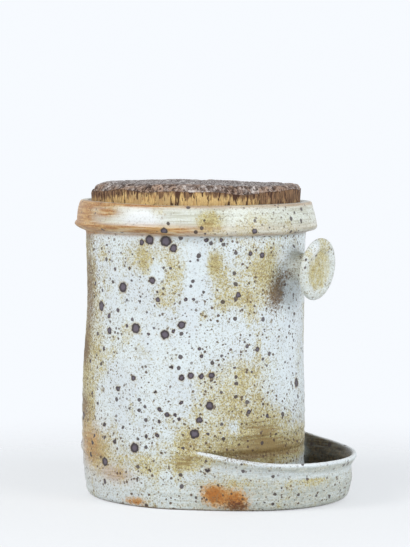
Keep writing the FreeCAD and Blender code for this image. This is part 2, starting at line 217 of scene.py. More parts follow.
def hollow_outline():
    """The space inside the jar, open at the top."""
    foot, mouth = FOOT_RADIUS - WALL, MOUTH_RADIUS - 34 * MOUTH_TAPER
    belly, waist = (BELLY_RADIUS - WALL, 58), (WAIST_RADIUS - WALL, WAIST_HEIGHT)
    wall = smooth_line(((foot, 20), belly, waist, (mouth, RIM_HEIGHT - 34)), 24)[1:]
    corner = arc((foot - 12, FLOOR + 12), 12, -90, 0)
    edge = arc((MOUTH_RADIUS + 2.2, RIM_HEIGHT - 2.2), 2.2, 180, 90)
    top = [(MOUTH_RADIUS + 2.2, 250), (AXIS, 250)]
    mouth = (MOUTH_RADIUS, RIM_HEIGHT - 2.2)
    return Outline([(AXIS, FLOOR), corner, wall, mouth, edge, *top], *JAR_TABLE)


def knob_outline():
    """The knob from its axis outwards: neck, button, and the ring in its face."""
    back = KNOB_REACH - KNOB_EDGE
    poles = ((16, 74.5), (10.6, 83.6), (9.6, 94.8), (12.4, 99), (20.4, back - 0.2))
    face = [
        arc((20.1, back + 2.6), 2.6, -80, 80, 12), (18.6, KNOB_REACH + 0.3),
        (15.6, KNOB_REACH + 0.1), (14.2, KNOB_REACH - 0.7), (13.2, KNOB_REACH - 1.6),
        (10, KNOB_REACH - 1.9), (AXIS, KNOB_REACH - 1.6),
    ]
    return Outline([(AXIS, 74.5), smooth_line(poles, 24), *face], *KNOB_TABLE, 0.4)


def tray_lines():
    """The middle of the tray's wall, and its floor, by standing out and level height."""
    heights, stands = np.array(TRAY_STAND).T
    fine = np.linspace(0, TRAY_LIP, 60)
    stand = np.interp(fine, heights, stands)
    for _ in range(6):
        stand[1:-1] = (stand[:-2] + 2 * stand[1:-1] + stand[2:]) / 4
    half = TRAY_WALL / 2
    keep = (fine > 4) & (fine < TRAY_LIP - half)
    middle = np.stack([stand[keep] - half, fine[keep]], 1)
    wall = Outline([middle], *TRAY_TABLE, closed=False)
    low = fine < 9
    side = np.stack([stand[low], fine[low]], 1)
    top = [(-1, TRAY_FLOOR + 1), (-4, TRAY_FLOOR), (-150, TRAY_FLOOR)]
    floor = Outline([(-150, 0), side, *top], *TRAY_TABLE)
    return (fine, stand), wall, floor


beaded_side, plain_side = jar_outline(COLLAR_BEADED), jar_outline(COLLAR_PLAIN)
jar_hollow, knob_side = hollow_outline(), knob_outline()
(tray_levels, tray_stands), tray_wall, tray_floor = tray_lines()


# --- the jar as thrown and joined by hand ---


def lip_height(x, y):
    """The line of the tray's lip, which climbs towards the jar."""
    out = (x - TRAY_CLIMB_MIDDLE) / np.hypot(x - TRAY_CLIMB_MIDDLE, y).clip(1e-6)
    return TRAY_LIP + TRAY_CLIMB * ((1 - out) / 2) ** 2.15


def thrown(turn, z):
    """How far the wall stands proud of its true round: hands, throwing rings, a soft ridge."""
    ridge = bump_at(turn_between(turn, -71), 0, 9) * ease(25, 60, z) * (1 - ease(170, 192, z))
    flat = -0.9 * bump_at(turn_between(turn, -52), 0, 17)
    flat = flat * ease(30, 70, z) * (1 - ease(160, 190, z))
    waves = (
        0.30 * np.sin(2 * turn + 0.9 + z * 0.011)
        + 0.22 * np.sin(3 * turn - 0.4 - z * 0.017)
        + 0.16 * np.sin(5 * turn + 2.1 + z * 0.026)
    )
    rings = 0.13 * np.sin(z * 0.62 + 0.7 * np.sin(turn + 1))
    rings = rings + 0.08 * np.sin(z * 1.13 + 1.3 * np.sin(2 * turn))
    low = 1 - ease(58, 90, z)
    lump = np.exp(-((turn_between(turn, -149) / 2.4) ** 2) - ((z - 36) / 3.2) ** 2)
    shift = -1.9 * np.cos(turn - math.radians(30)) * ease(-10, 30, z) * (1 - ease(90, 150, z))
    rings = rings * (0.6 + 1.1 * low)
    return shift + ridge + flat + waves * ease(0, 30, z) + rings + 1.3 * lump


def jar_field(turn, r, z):
    """The fired clay's distance field: below nothing inside the clay."""
    x, y = r * np.cos(turn), r * np.sin(turn)
    across = x * ACROSS[0] + y * ACROSS[1]
    collar = ease(184, 194, z)
    lean = 0.4 * np.sin(3 * turn + 1) + 0.25 * np.sin(7 * turn)
    uneven = 0.35 + 0.3 * np.sin(2 * turn + 2.2) + 0.12 * np.sin(9 * turn)
    push = thrown(turn, z) * (1 - collar) - collar * uneven
    rim_lean = 0.3 * np.sin(2 * turn + 0.6) - 0.2 + 1.4 * ease(0, 86, -across)
    upper = ease(205, 214, z)
    level = z - lean * collar * (1 - upper) - rim_lean * upper
    beaded = 1 - ease(45, 95, np.abs(turn_between(turn, -140)))
    clay = plain_side(r - push, level)
    clay += beaded * (beaded_side(r - push, level) - clay)
    clay = with_tray(clay, turn, r, z, x, y)
    clay = with_knob(clay, x, y, z)
    inner = thrown(turn, z) * 0.5 * (1 - ease(170, 182, z))
    return soft_max(clay, -jar_hollow(r - inner, z), MOUTH_EDGE)


def with_tray(clay, turn, r, z, x, y):
    """Adds the drip tray, whose round end runs into the wall by hollow curves."""
    level = z * TRAY_LIP / lip_height(x, y)
    stand = np.interp(level, tray_levels, tray_stands).astype(r.dtype)
    wall_radius = np.interp(z, wall_line[:, 1], wall_line[:, 0]).astype(r.dtype)
    sink = 0.8 + 7 * ease(72, 112, np.abs(turn_between(turn, 0)))
    ripple = 0.45 * np.sin(level * 0.62 + 0.5) * ease(6, 12, level) * (1 - ease(26, 32, level))
    wobble = 0.5 * np.sin(3 * turn + 0.8) + 0.3 * np.sin(7 * turn + level * 0.1)
    end = np.hypot(x - TRAY_MIDDLE - 0.75 * stand, y) - TRAY_RADIUS - ripple * 0.5 - wobble + 0.6
    along_wall = r - wall_radius + sink + stand
    out = soft_min(end, along_wall, TRAY_CORNER)
    wall = tray_wall(out, level) - TRAY_WALL / 2
    dish = soft_min(wall, tray_floor(out, level), TRAY_INSIDE)
    return soft_min(clay, dish, TRAY_FOOT)


def knob_places(x, y, z):
    """How far along the knob's axis, how far from it, and which way round it a place is."""
    along = x * math.cos(KNOB_TURN) + y * math.sin(KNOB_TURN)
    beside = -x * math.sin(KNOB_TURN) + y * math.cos(KNOB_TURN)
    over = z - KNOB_HEIGHT - KNOB_REACH * math.tan(KNOB_DROOP)
    ahead = along * math.cos(KNOB_DROOP) - over * math.sin(KNOB_DROOP)
    above = over * math.cos(KNOB_DROOP) + along * math.sin(KNOB_DROOP)
    return ahead, np.hypot(beside, above), np.arctan2(above, beside)


def with_knob(clay, x, y, z):
    """Adds the knob, its neck spread onto the wall."""
    ahead, spread, angle = knob_places(x, y, z)
    uneven = (0.5 * np.sin(angle + 0.4) + 0.35 * np.sin(2 * angle)) * ease(10, 22, spread)
    knob = knob_side(spread - uneven + 0.2, ahead - 0.25 * np.sin(angle + 2) + 0.1)
    return soft_min(clay, knob, KNOB_ROOT)


# --- from the field to a mesh ---


def levels(*runs):
    """Grid levels from (start, end, step) runs."""
    made = [np.linspace(a, b, max(2, round((b - a) / step)), endpoint=False) for a, b, step in runs]
    return np.concatenate([*made, [runs[-1][1]]])


def jar_grid():
    turns = levels((-180, -26, 1.15), (-26, 26, 0.75), (26, 180, 1.15))[:-1]
    radii = levels(
        (0, 60, 5), (60, 73, 2.2), (73, 92, 1.15), (92, 98, 1.4), (98, 110, 1),
        (110, 122, 1.5), (122, 130, 1.15),
    )
    heights = levels(
        (-3, 9, 1.2), (9, 30, 1.7), (30, 48, 1.2), (48, 62, 1.7), (62, 144, 2.6),
        (144, 190, 1.6), (190, 220, 0.95),
    )
    return np.radians(turns), radii, heights


CORNERS = [(a, b, c) for a in (0, 1) for b in (0, 1) for c in (0, 1)]
EDGES = [
    (p, q) for p in CORNERS for q in CORNERS if p < q and sum(abs(m - n) for m, n in zip(p, q)) == 1
]


def net_over(field):
    """A net of quads over the zero of a field on a grid whose first way wraps round."""
    wrapped = np.concatenate([field, field[:1]], 0)
    inside = wrapped < 0
    n, m, k = field.shape
    whole = inside.astype(np.int8)
    count = sum(whole[a : n + a, b : m - 1 + b, c : k - 1 + c] for a, b, c in CORNERS)
    cells = np.argwhere((count > 0) & (count < 8))
    total, hits = np.zeros((len(cells), 3)), np.zeros(len(cells))
    for p, q in EDGES:
        start, end = cells + p, cells + q
        f_start, f_end = wrapped[tuple(start.T)], wrapped[tuple(end.T)]
        crossed = (f_start < 0) != (f_end < 0)
        share = np.where(crossed, f_start / np.where(crossed, f_start - f_end, 1), 0)
        total += np.where(crossed[:, None], start + share[:, None] * (end - start), 0)
        hits += crossed
    numbers = np.full((n, m - 1, k - 1), -1, np.int64)
    numbers[tuple(cells.T)] = np.arange(len(cells))
    return total / hits[:, None], net_faces(inside, numbers, (n, m, k))


def net_faces(inside, numbers, shape):
    """One quad round each grid edge that crosses the surface."""
    faces = []
    for axis in range(3):
        step = np.eye(3, dtype=int)[axis]
        one, two = [np.eye(3, dtype=int)[other] for other in range(3) if other != axis]
        low = np.array([0, 1, 1]) * (1 - step)
        high = np.array([shape[0], shape[1] - 1, shape[2] - 1])
        grid = np.indices(tuple(high - low)).reshape(3, -1).T + low
        a = inside[tuple(grid.T)]
        b = inside[tuple((grid + step).T)]
        changed = grid[a != b]
        leaving = a[a != b]
        ring = [changed, changed - one, changed - one - two, changed - two]
        ring = [(place[:, 0] % shape[0], place[:, 1], place[:, 2]) for place in ring]
        quad = np.stack([numbers[place] for place in ring], 1)
        flip = leaving if axis == 1 else ~leaving
        quad[flip] = quad[flip][:, ::-1]
        faces.append(quad)
    return np.concatenate(faces)


def slope_of(field, places):
    """The field's value and slope at loose places."""
    def value(p):
        return field(np.arctan2(p[:, 1], p[:, 0]), np.hypot(p[:, 0], p[:, 1]), p[:, 2])

    reach = 0.15
    steps = np.eye(3) * reach
    slope = [(value(places + step) - value(places - step)) / (2 * reach) for step in steps]
    return value(places), np.stack(slope, 1)


def settle(places):
    """Moves points onto the surface along the field's slope."""
    for _ in range(3):
        value, slope = slope_of(jar_field, places)
        steep = (slope**2).sum(1).clip(0.25)
        move = slope * (value / steep)[:, None]
        length = np.linalg.norm(move, axis=1).clip(1e-9)
        places = places - move * np.minimum(1, 0.8 / length)[:, None]
    return places


def jar_net():
    """The jar's points in millimetres, and its faces."""
    turns, radii, heights = jar_grid()
    grid = np.meshgrid(turns, radii, heights, indexing="ij")
    spots, quads = net_over(jar_field(*(a.astype(np.float32) for a in grid)))
    ways = (np.append(turns, turns[0] + 2 * math.pi), radii, heights)
    turn, r, z = (np.interp(spot, np.arange(len(way)), way) for spot, way in zip(spots.T, ways))
    places = settle(np.stack([r * np.cos(turn), r * np.sin(turn), z], 1))
    return places, quads, spots[:, 1] < 1


def fit_in(places, room=0.02):
    """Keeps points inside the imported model's box."""
    low, high = (np.array(corner) / MM for corner in cad_box)
    return np.clip(places, low + room, high - room)


def new_piece(name, places, faces, materials, smooth=True):
    mesh = bpy.data.meshes.new(name)
    mesh.from_pydata((places * MM).tolist(), [], [list(face) for face in faces])
    mesh.update()
    mesh.polygons.foreach_set("use_smooth", [smooth] * len(mesh.polygons))
    for material in materials:
        mesh.materials.append(material)
    piece = bpy.data.objects.new(name, mesh)
    bpy.context.scene.collection.objects.link(piece)
    return piece


def paint(piece, **marks):
    """Stores numbers on the points for a material to read."""
    for name, values in marks.items():
        layer = piece.data.attributes.new(name, "FLOAT", "POINT")
        layer.data.foreach_set("value", np.asarray(values, np.float32))


def hub_faces(places, middle):
    """Closes the two small holes on the axis with a fan each; returns the added points too."""
    added, fans = [], []
    for upper in (False, True):
        ring = np.flatnonzero(middle & ((places[:, 2] > FLOOR / 2) == upper))
        ring = ring[np.argsort(np.arctan2(places[ring, 1], places[ring, 0]))]
        hub = len(places) + len(added)
        added.append([0, 0, places[ring, 2].mean()])
        for here, there in zip(ring, np.roll(ring, -1)):
            fans.append([here, there, hub] if upper else [there, here, hub])
    return np.concatenate([places, added]), fans


# --- the jar's glaze, as painted by place ---

# patches: turn, height, half width, half height, strength, and how far out where it isn't on the
# wall. Those below nothing keep the place clear.

# ochre, where the glaze is thin
OCHRE = (
    (-116, 36, 28, 17, 0.45), (-88, 180, 20, 13, 0.6), (-71, 166, 13, 22, 0.65),
    (-79, 168, 6, 10, -0.7), (-60, 160, 6.5, 36, -0.8), (-50.5, 175, 5.5, 9.5, 1.2),
    (-57, 138, 4, 5, 1), (-36, 162, 22, 22, 0.55), (-18, 170, 13, 26, 0.75),
    (-36, 150, 14, 6, 0.6), (-142, 165, 22, 30, 0.95), (-140, 112, 22, 26, 1.2),
    (-118, 120, 10, 30, 0.35), (-134, 70, 18, 26, 0.9), (-52, 88, 20, 18, 0.35),
    (-30, 100, 26, 12, 0.35), (-32, 80, 30, 18, 0.4), (-26, 59, 44, 13, 0.95),
    (-20, 40, 60, 11, 1.8), (-62, 48, 7, 9, 0.5), (-40, 60, 6, 7, -0.9), (-118, 38, 16, 12, 0.8),
    (-88, 34, 12, 7, 0.6), (-66, 33, 12, 5, 0.8), (-84, 27, 12, 5, 0.5),
    (-50, 20, 30, 3, 0.5, 92), (-14, 21, 16, 3.5, 0.8, 112), (-30, 206, 16, 7, 0.5, 88),
    (-54, 205, 10, 8, 1.3, 88), (-84, 212, 20, 3, 0.5, 88), (-88, 206, 10, 7, -0.8, 88),
    (-4, 120, 14, 60, -0.6), (120, 150, 30, 30, 0.9), (110, 60, 30, 22, 0.8), (55, 62, 34, 18, 1.1),
    (175, 90, 20, 44, 0.8), (150, 30, 24, 14, 0.8),
)
# brown burnt ground showing through
BURNT = (
    (-128, 208, 20, 9, 0.7, 88), (-136, 192, 16, 4, 0.45, 88), (-14, 153, 10, 14, 1.15),
    (-9, 166, 5, 8, 0.3), (-143, 107, 14, 10, 1.1), (-136, 150, 19, 50, 0.9),
    (-138, 66, 16, 12, 0.9), (-30, 38, 40, 4, 0.6), (25, 40, 34, 5, 0.6),
    (-41, 4.5, 10, 4.5, 1.2, 88), (170, 60, 10, 14, 0.5),
)
# bright rust at the foot
RUST = (
    (-52, 12, 8, 8, 1.1, 88), (-41, 9.5, 10, 8, 1.3, 88), (-92, 4, 10, 3.5, 0.8),
    (-122, 44, 7, 8, 0.5), (95, 10, 16, 8, 0.9),
)
# orange where the glaze ran thin: on the collar's left end, and low down on the left
RUN_THIN = (
    (-134, 210, 26, 9, 1.7, 87), (-138, 199.5, 32, 4.5, 1.3, 89), (-106, 211, 11, 3.2, 1.1, 87),
    (-80, 199, 30, 3, 0.7, 89), (-130, 40, 24, 18, 0.75), (-104, 22, 16, 6, 0.6),
    (60, 205, 20, 6, 0.8, 88), (130, 210, 24, 8, 0.7, 88),
)
# painted highlights, in white: on the collar, on the knob's rim and on its neck
PAINTED_HIGHLIGHTS = (
    (-86, 206, 15, 8, 1.5, 88), (-8, 184, 5, 6, 0.8, 105), (-12, 178, 5, 5, 0.6, 88),
)
# calm glaze with few specks
CALM = (
    (-50.5, 175, 6, 10, 0.8), (-84, 205, 45, 14, 1, 88), (-62, 180, 9, 32, 1),
    (-81, 172, 9, 14, 0.8), (-83, 120, 14, 12, 0.9), (-66, 92, 7, 22, 0.8),
    (-100, 148, 16, 16, 0.5), (-100, 76, 16, 18, 0.4),
)
# iron spots: turn, height, radius, and how far out where it isn't on the wall
SPOTS = (
    (-83.5, 191.8, 3.4), (-75, 191.3, 4.2), (-71, 186.2, 3), (-88, 190, 2.1),
    (-74.5, 198.6, 2.7, 89.5), (-82.5, 163, 2.7), (-100.5, 157.3, 3.8), (-79.5, 149.5, 1.9),
    (-104, 140.5, 1.6), (-118, 142.3, 3.7), (-92, 128.5, 3.8), (-110, 125.3, 2.7),
    (-75.5, 124.8, 3.4), (-67, 132, 2.9), (-71, 127.6, 1.5), (-97.5, 130, 1.2), (-84.5, 125, 1.1),
    (-38, 152.7, 2), (-24.3, 180.4, 2.3), (-31.5, 182, 1.8), (-47, 192, 1.6), (-54.5, 192, 1.6),
    (-27, 113.5, 2), (6, 85.5, 4), (-67, 94.5, 2.3), (-62.5, 96, 2.4), (-57, 95.5, 2.1),
    (-52, 96, 2.6), (-92.5, 93, 2.1), (-102, 84.5, 2.3), (-53, 74.5, 3.2), (-58, 64.5, 2.4),
    (-60.5, 54.5, 3.5), (-54, 54.5, 1.5), (-79, 53, 2), (-91.5, 43, 3.8), (-112, 30.3, 3.6),
    (-113, 15.5, 2), (-126, 33, 2.4), (-140, 59, 4), (-54, 29.5, 2.7, 86.5),
    (-55, 42.6, 2.3, 85), (-124, 42, 2.2), (-122, 47, 1.8), (-128, 101, 2.2), (-146, 112, 3.2),
    (-32, 198, 2.3, 89.6), (-78, 72, 1.9), (-74, 68, 2), (-32.3, 69, 2), (-21, 65, 1.9),
    (-96, 171, 1.3), (-106, 170, 1.4), (-125, 158, 1.5), (-58, 115, 1.3), (-57, 110, 1.5),
    (-40, 101, 1.2), (-33, 116, 1.4), (-65, 150, 1.2), (-61, 150, 1.1), (-85, 52, 1.7),
    (-78, 63, 1.7), (-70, 68, 1.5), (-67, 77, 1.5), (-68, 65, 1.4), (-72, 102, 1.6),
    (-112, 57, 2), (-104, 46, 2.1), (-66, 44, 1.6), (-68, 40, 1.4), (-114, 112, 1.8),
    (-113, 82, 1.7), (-118, 72, 1.7), (-80, 84, 1.5),
)


def on_wall(turn, height, radius=None):
    """A place on the jar's wall, by its turn in degrees and its height."""
    r = np.interp(height, wall_line[:, 1], wall_line[:, 0]) if radius is None else radius
    ahead, aside = facing(turn)
    return r * ahead, r * aside, height


def patch(places, turn, height, wide, tall, radius=None):
    """A soft patch: 1 at its middle, wide across and tall up, on the side that it faces."""
    x, y, z = (places - on_wall(turn, height, radius)).T
    ahead, aside = facing(turn)
    over, deep = y * ahead - x * aside, x * ahead + y * aside
    return np.exp(-((over / wide) ** 2) - (z / tall) ** 2 - (deep / max(12, 0.8 * wide)) ** 4)


def patches(places, table):
    total = np.zeros(len(places))
    for turn, height, wide, tall, amount, *radius in table:
        total += amount * patch(places, turn, height, wide, tall, *radius)
    return total


def tray_masks(places, degrees, r):
    """The tray's inside, its free lip, the band, the line under the lip and its outer wall; the lip
    takes a painted highlight, the line and the outer wall take painted shade.
    """
    x, y, z = places.T
    level = z * TRAY_LIP / lip_height(x, y)
    clear = r - np.interp(z, wall_line[:, 1], wall_line[:, 0])
    stand = np.interp(level, tray_levels, tray_stands)
    out = np.hypot(x - TRAY_MIDDLE - 0.75 * stand, y) - TRAY_RADIUS - stand
    inside = ease(-1.5, 0.5, clear) * (1 - ease(33.2, 34.4, level)) * (1 - ease(-3.4, -1.8, out))
    inside *= ease(TRAY_FLOOR - 2, TRAY_FLOOR, z)
    free = ease(2.5, 5, clear)
    outer = free * ease(-7, -5, out)
    lip = ease(32.2, 33.8, level) * outer * (level < 37)
    band = ease(22, 25, level) * outer * (level < 37)
    # painted shade: a grey line under the tray's out-turned lip, and grey on the tray's outer wall
    line = bump_at(level, 29.6, 1.7) * ease(-2, 0, out) * free
    hem = outer * (level < 32) * ease(-64, -50, degrees)
    return inside, lip, band, line, hem


def collar_mask(turn, r, z):
    """The collar's bead and rim, where the glaze runs thin, most of all at the left, and a line
    under the bead that is partly thin glaze and partly painted shade.
    """
    left = ease(90, 150, 180 - np.abs(turn_between(turn, -125)))
    bead = bump_at(z, 199.5, 3.4) * ease(82.5, 86, r) * (0.2 + 0.75 * left)
    rim = bump_at(np.hypot(r - 85.6, z - 216.6), 0, 2) * (0.7 + 0.5 * left)
    # the line under the bead: partly glaze run thin, partly painted shade in its crease
    return bead + 0.5 * bump_at(z, 195.4, 1.2) + rim


def knob_masks(places):
    """The button's face, more in its ring and less under its painted highlight, and the knob's neck.
    """
    ahead, spread, _ = knob_places(*places.T)
    on_knob = ease(KNOB_REACH - 6.5, KNOB_REACH - 4.5, ahead) * (spread < 26)
    ring = 0.45 + 0.55 * (1 - ease(13.5, 15, spread))
    # the face is kept clear where the knob's painted highlight lies
    face = on_knob * ring * (1 - 0.9 * patch(places, -8, 184, 6, 7, 105))
    return face, (spread < 17) * ease(82, 88, ahead) * (1 - on_knob)


def paint_glaze(piece, places):
    """Where the glaze is thin, rusty, pooled or out of sight, and where highlights and shade are
    painted, as numbers on the surface.
    """
    x, y, z = places.T
    turn, r = np.arctan2(y, x), np.hypot(x, y)
    degrees = np.degrees(turn)
    in_tray, lip, band, line, hem = tray_masks(places, degrees, r)
    face, neck = knob_masks(places)
    collar = ease(194, 198, z)
    # the tray's lip takes a painted highlight: white, clear of ochre and with few specks
    ochre = 0.5 * face - 1.5 * lip - 0.9 * band * ease(-60, -40, degrees)
    calm = 0.75 * face + 0.8 * lip + 0.5 * band + 0.3 * collar * (r > 60)
    # painted shade: greyer towards the foot, together with the line under the tray's lip and its
    # outer wall
    low = (1 - ease(6, 32, z)) * (0.4 + 0.6 * ease(-90, -50, degrees)) * (1 - lip)
    paint(
        piece,
        ochre=patches(places, OCHRE) + ochre,
        pale=np.clip(patches(places, PAINTED_HIGHLIGHTS) + 0.9 * lip, 0, 1),
        calm=np.clip(patches(places, CALM) + calm, 0, 1),
        cream=np.clip(collar + 0.7 * neck + face, 0, 1),
        sooty=np.clip(low + 0.9 * line + 0.5 * hem, 0, 1.2),
        rust=patches(places, RUST) * (1 - in_tray),
        burnt=patches(places, BURNT),
        in_tray=in_tray,
        thin=np.clip(collar_mask(turn, r, z) + patches(places, RUN_THIN), 0, 1.2),
    )


# --- node trees ---


def srgb(red, green, blue):
    """A colour written as in paint charts, 0 to 255, turned to linear light."""
    def linear(part):
        part = part / 255
        return part / 12.92 if part <= 0.04045 else ((part + 0.055) / 1.055) ** 2.4

    return (linear(red), linear(green), linear(blue), 1)


class Bench:
    """Short calls for wiring one node tree."""

    def __init__(self, tree):
        self.tree = tree

    def fill(self, made, links):
        """Joins or sets a node's sockets."""
        for key, value in links.items():
            if isinstance(value, bpy.types.NodeSocket):
                self.tree.links.new(value, made.inputs[key])
            else:
                made.inputs[key].default_value = value
        return made

    def node(self, kind, links=None, **settings):
        made = self.tree.nodes.new("ShaderNode" + kind)
        for key, value in settings.items():
            setattr(made, key, value)
        return self.fill(made, links or {})

    def group(self, name, **links):
        """Places a node group with its own values."""
        made = self.node("Group", node_tree=bpy.data.node_groups[name])
        return self.fill(made, {key.capitalize(): value for key, value in links.items()}).outputs

    def math(self, operation, a, b=0, c=0, clamp=False):
        links = {0: a, 1: b, 2: c}
        return self.node("Math", links, operation=operation, use_clamp=clamp).outputs[0]

    def times(self, a, by, plus=None):
        """One value times another, with a third added where there is one."""
        if plus is None:
            return self.math("MULTIPLY", a, by)
        return self.math("MULTIPLY_ADD", a, by, plus)

    def vector(self, operation, a, b=(0, 0, 0), scale=1):
        links = {0: a, "Scale": scale} if operation == "SCALE" else {0: a, 1: b}
        number = operation in ("LENGTH", "DISTANCE", "DOT_PRODUCT")
        made = self.node("VectorMath", links, operation=operation)
        return made.outputs["Value" if number else "Vector"]

    def mix(self, share, a, b):
        links = {0: share, 6: a, 7: b}
        return self.node("Mix", links, data_type="RGBA", clamp_factor=True).outputs[2]

    def lay(self, colour, top, mask, share=None):
        """Lays a colour over another by a mask, times a share where one is given."""
        if share is not None:
            mask = self.times(mask, share)
        return self.mix(mask, colour, srgb(*top) if isinstance(top, tuple) else top)

    def ease(self, value, low, high, to_low=0, to_high=1):
        keys = ("Value", "From Min", "From Max", "To Min", "To Max")
        links = dict(zip(keys, (value, low, high, to_low, to_high)))
        return self.node("MapRange", links, interpolation_type="SMOOTHSTEP").outputs[0]

    def shades(self, value, low, high, first, second):
        """From one paint colour to another, as a value rises from low to high."""
        return self.mix(self.ease(value, low, high), srgb(*first), srgb(*second))

    def noise(self, vector, scale, detail=2, rough=0.5):
        links = {"Vector": vector, "Scale": scale, "Detail": detail, "Roughness": rough}
        return self.node("TexNoise", links).outputs["Fac"]

    def drawn(self, place, ways, scale, detail, rough):
        """Noise drawn out along the ways whose number is small."""
        return self.noise(self.vector("MULTIPLY", place, ways), scale, detail, rough)

    def stir(self, value, noise, amount):
        """A value that a noise pushes up and down."""
        return self.times(self.math("SUBTRACT", noise, 0.5), amount, value)

    def read(self, name):
        """A number that was painted on the points."""
        return self.node("Attribute", attribute_name=name).outputs["Fac"]

    def millimetres(self):
        """The place on the object, in millimetres."""
        return self.vector("SCALE", self.node("TexCoord").outputs["Object"], scale=1000)


def new_group(name, inputs, outputs):
    """An empty node group with named sockets; returns its bench, its inputs and its output node."""
    tree = bpy.data.node_groups.new(name, "ShaderNodeTree")
    for labels, way in ((inputs, "INPUT"), (outputs, "OUTPUT")):
        for label in labels:
            kind = "NodeSocketVector" if label == "Vector" else "NodeSocketFloat"
            tree.interface.new_socket(name=label, in_out=way, socket_type=kind)
    source, result = tree.nodes.new("NodeGroupInput"), tree.nodes.new("NodeGroupOutput")
    return Bench(tree), source.outputs, result


def speck_group():
    """Round specks scattered in space: one cell in so many holds one, of its own size."""
    bench, given, result = new_group(
        "specks", ("Vector", "Spacing", "Largest", "Share", "Blur"), ("Mask", "Nearness", "Shade")
    )
    scale = bench.math("DIVIDE", 1, given["Spacing"])
    cell = bench.node("TexVoronoi", {"Vector": given["Vector"], "Scale": scale}, feature="F1")
    parts = bench.node("SeparateColor", {"Color": cell.outputs["Color"]})
    apart = bench.times(cell.outputs["Distance"], given["Spacing"])
    chosen = bench.math("LESS_THAN", parts.outputs[0], given["Share"])
    size = bench.times(parts.outputs[1], 0.65, 0.35)
    radius = bench.times(bench.times(size, given["Largest"]), chosen)
    over = bench.math("SUBTRACT", radius, apart)
    soft = bench.math("DIVIDE", over, given["Blur"], clamp=True)
    near = bench.math("DIVIDE", apart, bench.math("MAXIMUM", radius, 0.001))
    bench.fill(result, {"Mask": soft, "Nearness": near, "Shade": parts.outputs[2]})


def grit_group():
    """Uneven grit, for broken colour and fine relief in clay and cork."""
    bench, given, result = new_group("grit", ("Vector", "Size", "Level", "Blur"), ("Mask", "Height"))
    scale = bench.math("DIVIDE", 1, given["Size"])
    coarse = bench.noise(given["Vector"], scale, 3, 0.65)
    low = bench.math("SUBTRACT", given["Level"], given["Blur"])
    high = bench.math("ADD", given["Level"], given["Blur"])
    bench.fill(result, {"Mask": bench.ease(coarse, low, high), "Height": coarse})


def new_material(name):
    material = bpy.data.materials.new(name)
    material.use_nodes = True
    bench = Bench(material.node_tree)
    shader = material.node_tree.nodes["Principled BSDF"]
    return material, bench, shader


def finish_material(bench, shader, colour, roughness, height, strength, distance):
    """Joins colour, roughness and fine relief to the shader."""
    bump = bench.node("Bump", {"Height": height, "Strength": strength, "Distance": distance})
    normal = bump.outputs["Normal"]
    bench.fill(shader, {"Base Color": colour, "Roughness": roughness, "Normal": normal})


def glaze_noises(bench, place):
    """The noises that the glaze's colours share, some drawn out along the throwing lines."""
    return SimpleNamespace(
        cloud=bench.noise(place, 0.035, 3, 0.6),
        mottle=bench.noise(place, 0.42, 3, 0.7),
        fine=bench.noise(place, 0.8, 3, 0.75),
        grain=bench.noise(place, 1.3, 2, 0.7),
        drift=bench.drawn(place, (1, 1, 0.6), 0.05, 4, 0.65),
        lines=bench.drawn(place, (0.03, 0.03, 0.6), 1, 3, 0.65),
        streak=bench.drawn(place, (0.05, 0.05, 0.7), 1, 3, 0.6),
    )


def milky_ground(bench, noise):
    """The milky glaze itself: cream on the collar and the knob, and grey painted shade at the foot,
    under the tray's lip and on the tray's outer wall.
    """
    milky = bench.shades(noise.cloud, 0.38, 0.62, (212, 221, 226), (219, 229, 232))
    milky = bench.lay(milky, (230, 235, 237), bench.ease(noise.mottle, 0.45, 0.75, 0, 0.35))
    milky = bench.lay(milky, (190, 200, 202), bench.ease(noise.fine, 0.5, 0.64, 0, 0.38))
    cream = bench.shades(noise.mottle, 0.4, 0.62, (210, 210, 188), (226, 230, 220))
    cream = bench.lay(cream, (168, 162, 126), bench.ease(noise.lines, 0.48, 0.62, 0, 0.75))
    milky = bench.lay(milky, cream, bench.read("cream"), 0.7)
    # grey painted shade: at the foot, under the tray's lip and on the tray's outer wall
    grey = bench.shades(noise.mottle, 0.4, 0.62, (172, 178, 172), (200, 203, 194))
    along = bench.ease(noise.lines, 0.35, 0.6, 0.45, 1.1)
    return bench.lay(milky, grey, bench.read("sooty"), along)


def ochre_breaks(bench, noise, milky):
    """Thin glaze breaks to ochre, in clouds and along the lines; returns where, too."""
    drift = bench.ease(noise.drift, 0.47, 0.68, 0, 0.5)
    ochre = bench.math("ADD", bench.read("ochre"), drift)
    stipple = bench.times(bench.read("calm"), -4, 5)
    broken = bench.stir(bench.stir(ochre, noise.fine, stipple), noise.mottle, 2.2)
    mask = bench.ease(broken, 0.05, 1.15, 0, 0.92)
    tan = bench.shades(noise.grain, 0.42, 0.58, (148, 128, 72), (204, 194, 134))
    tan = bench.lay(tan, (166, 168, 150), bench.ease(ochre, 0.15, 0.6, 0.75, 0))
    deep = bench.ease(bench.stir(ochre, noise.lines, 3.2), 1, 1.8)
    tan = bench.lay(tan, (134, 104, 30), deep, bench.ease(noise.grain, 0.35, 0.6, 0.55, 1))
    milky = bench.lay(milky, (198, 197, 170), bench.ease(ochre, 0.15, 0.9, 0, 0.55))
    return bench.lay(milky, tan, mask), mask


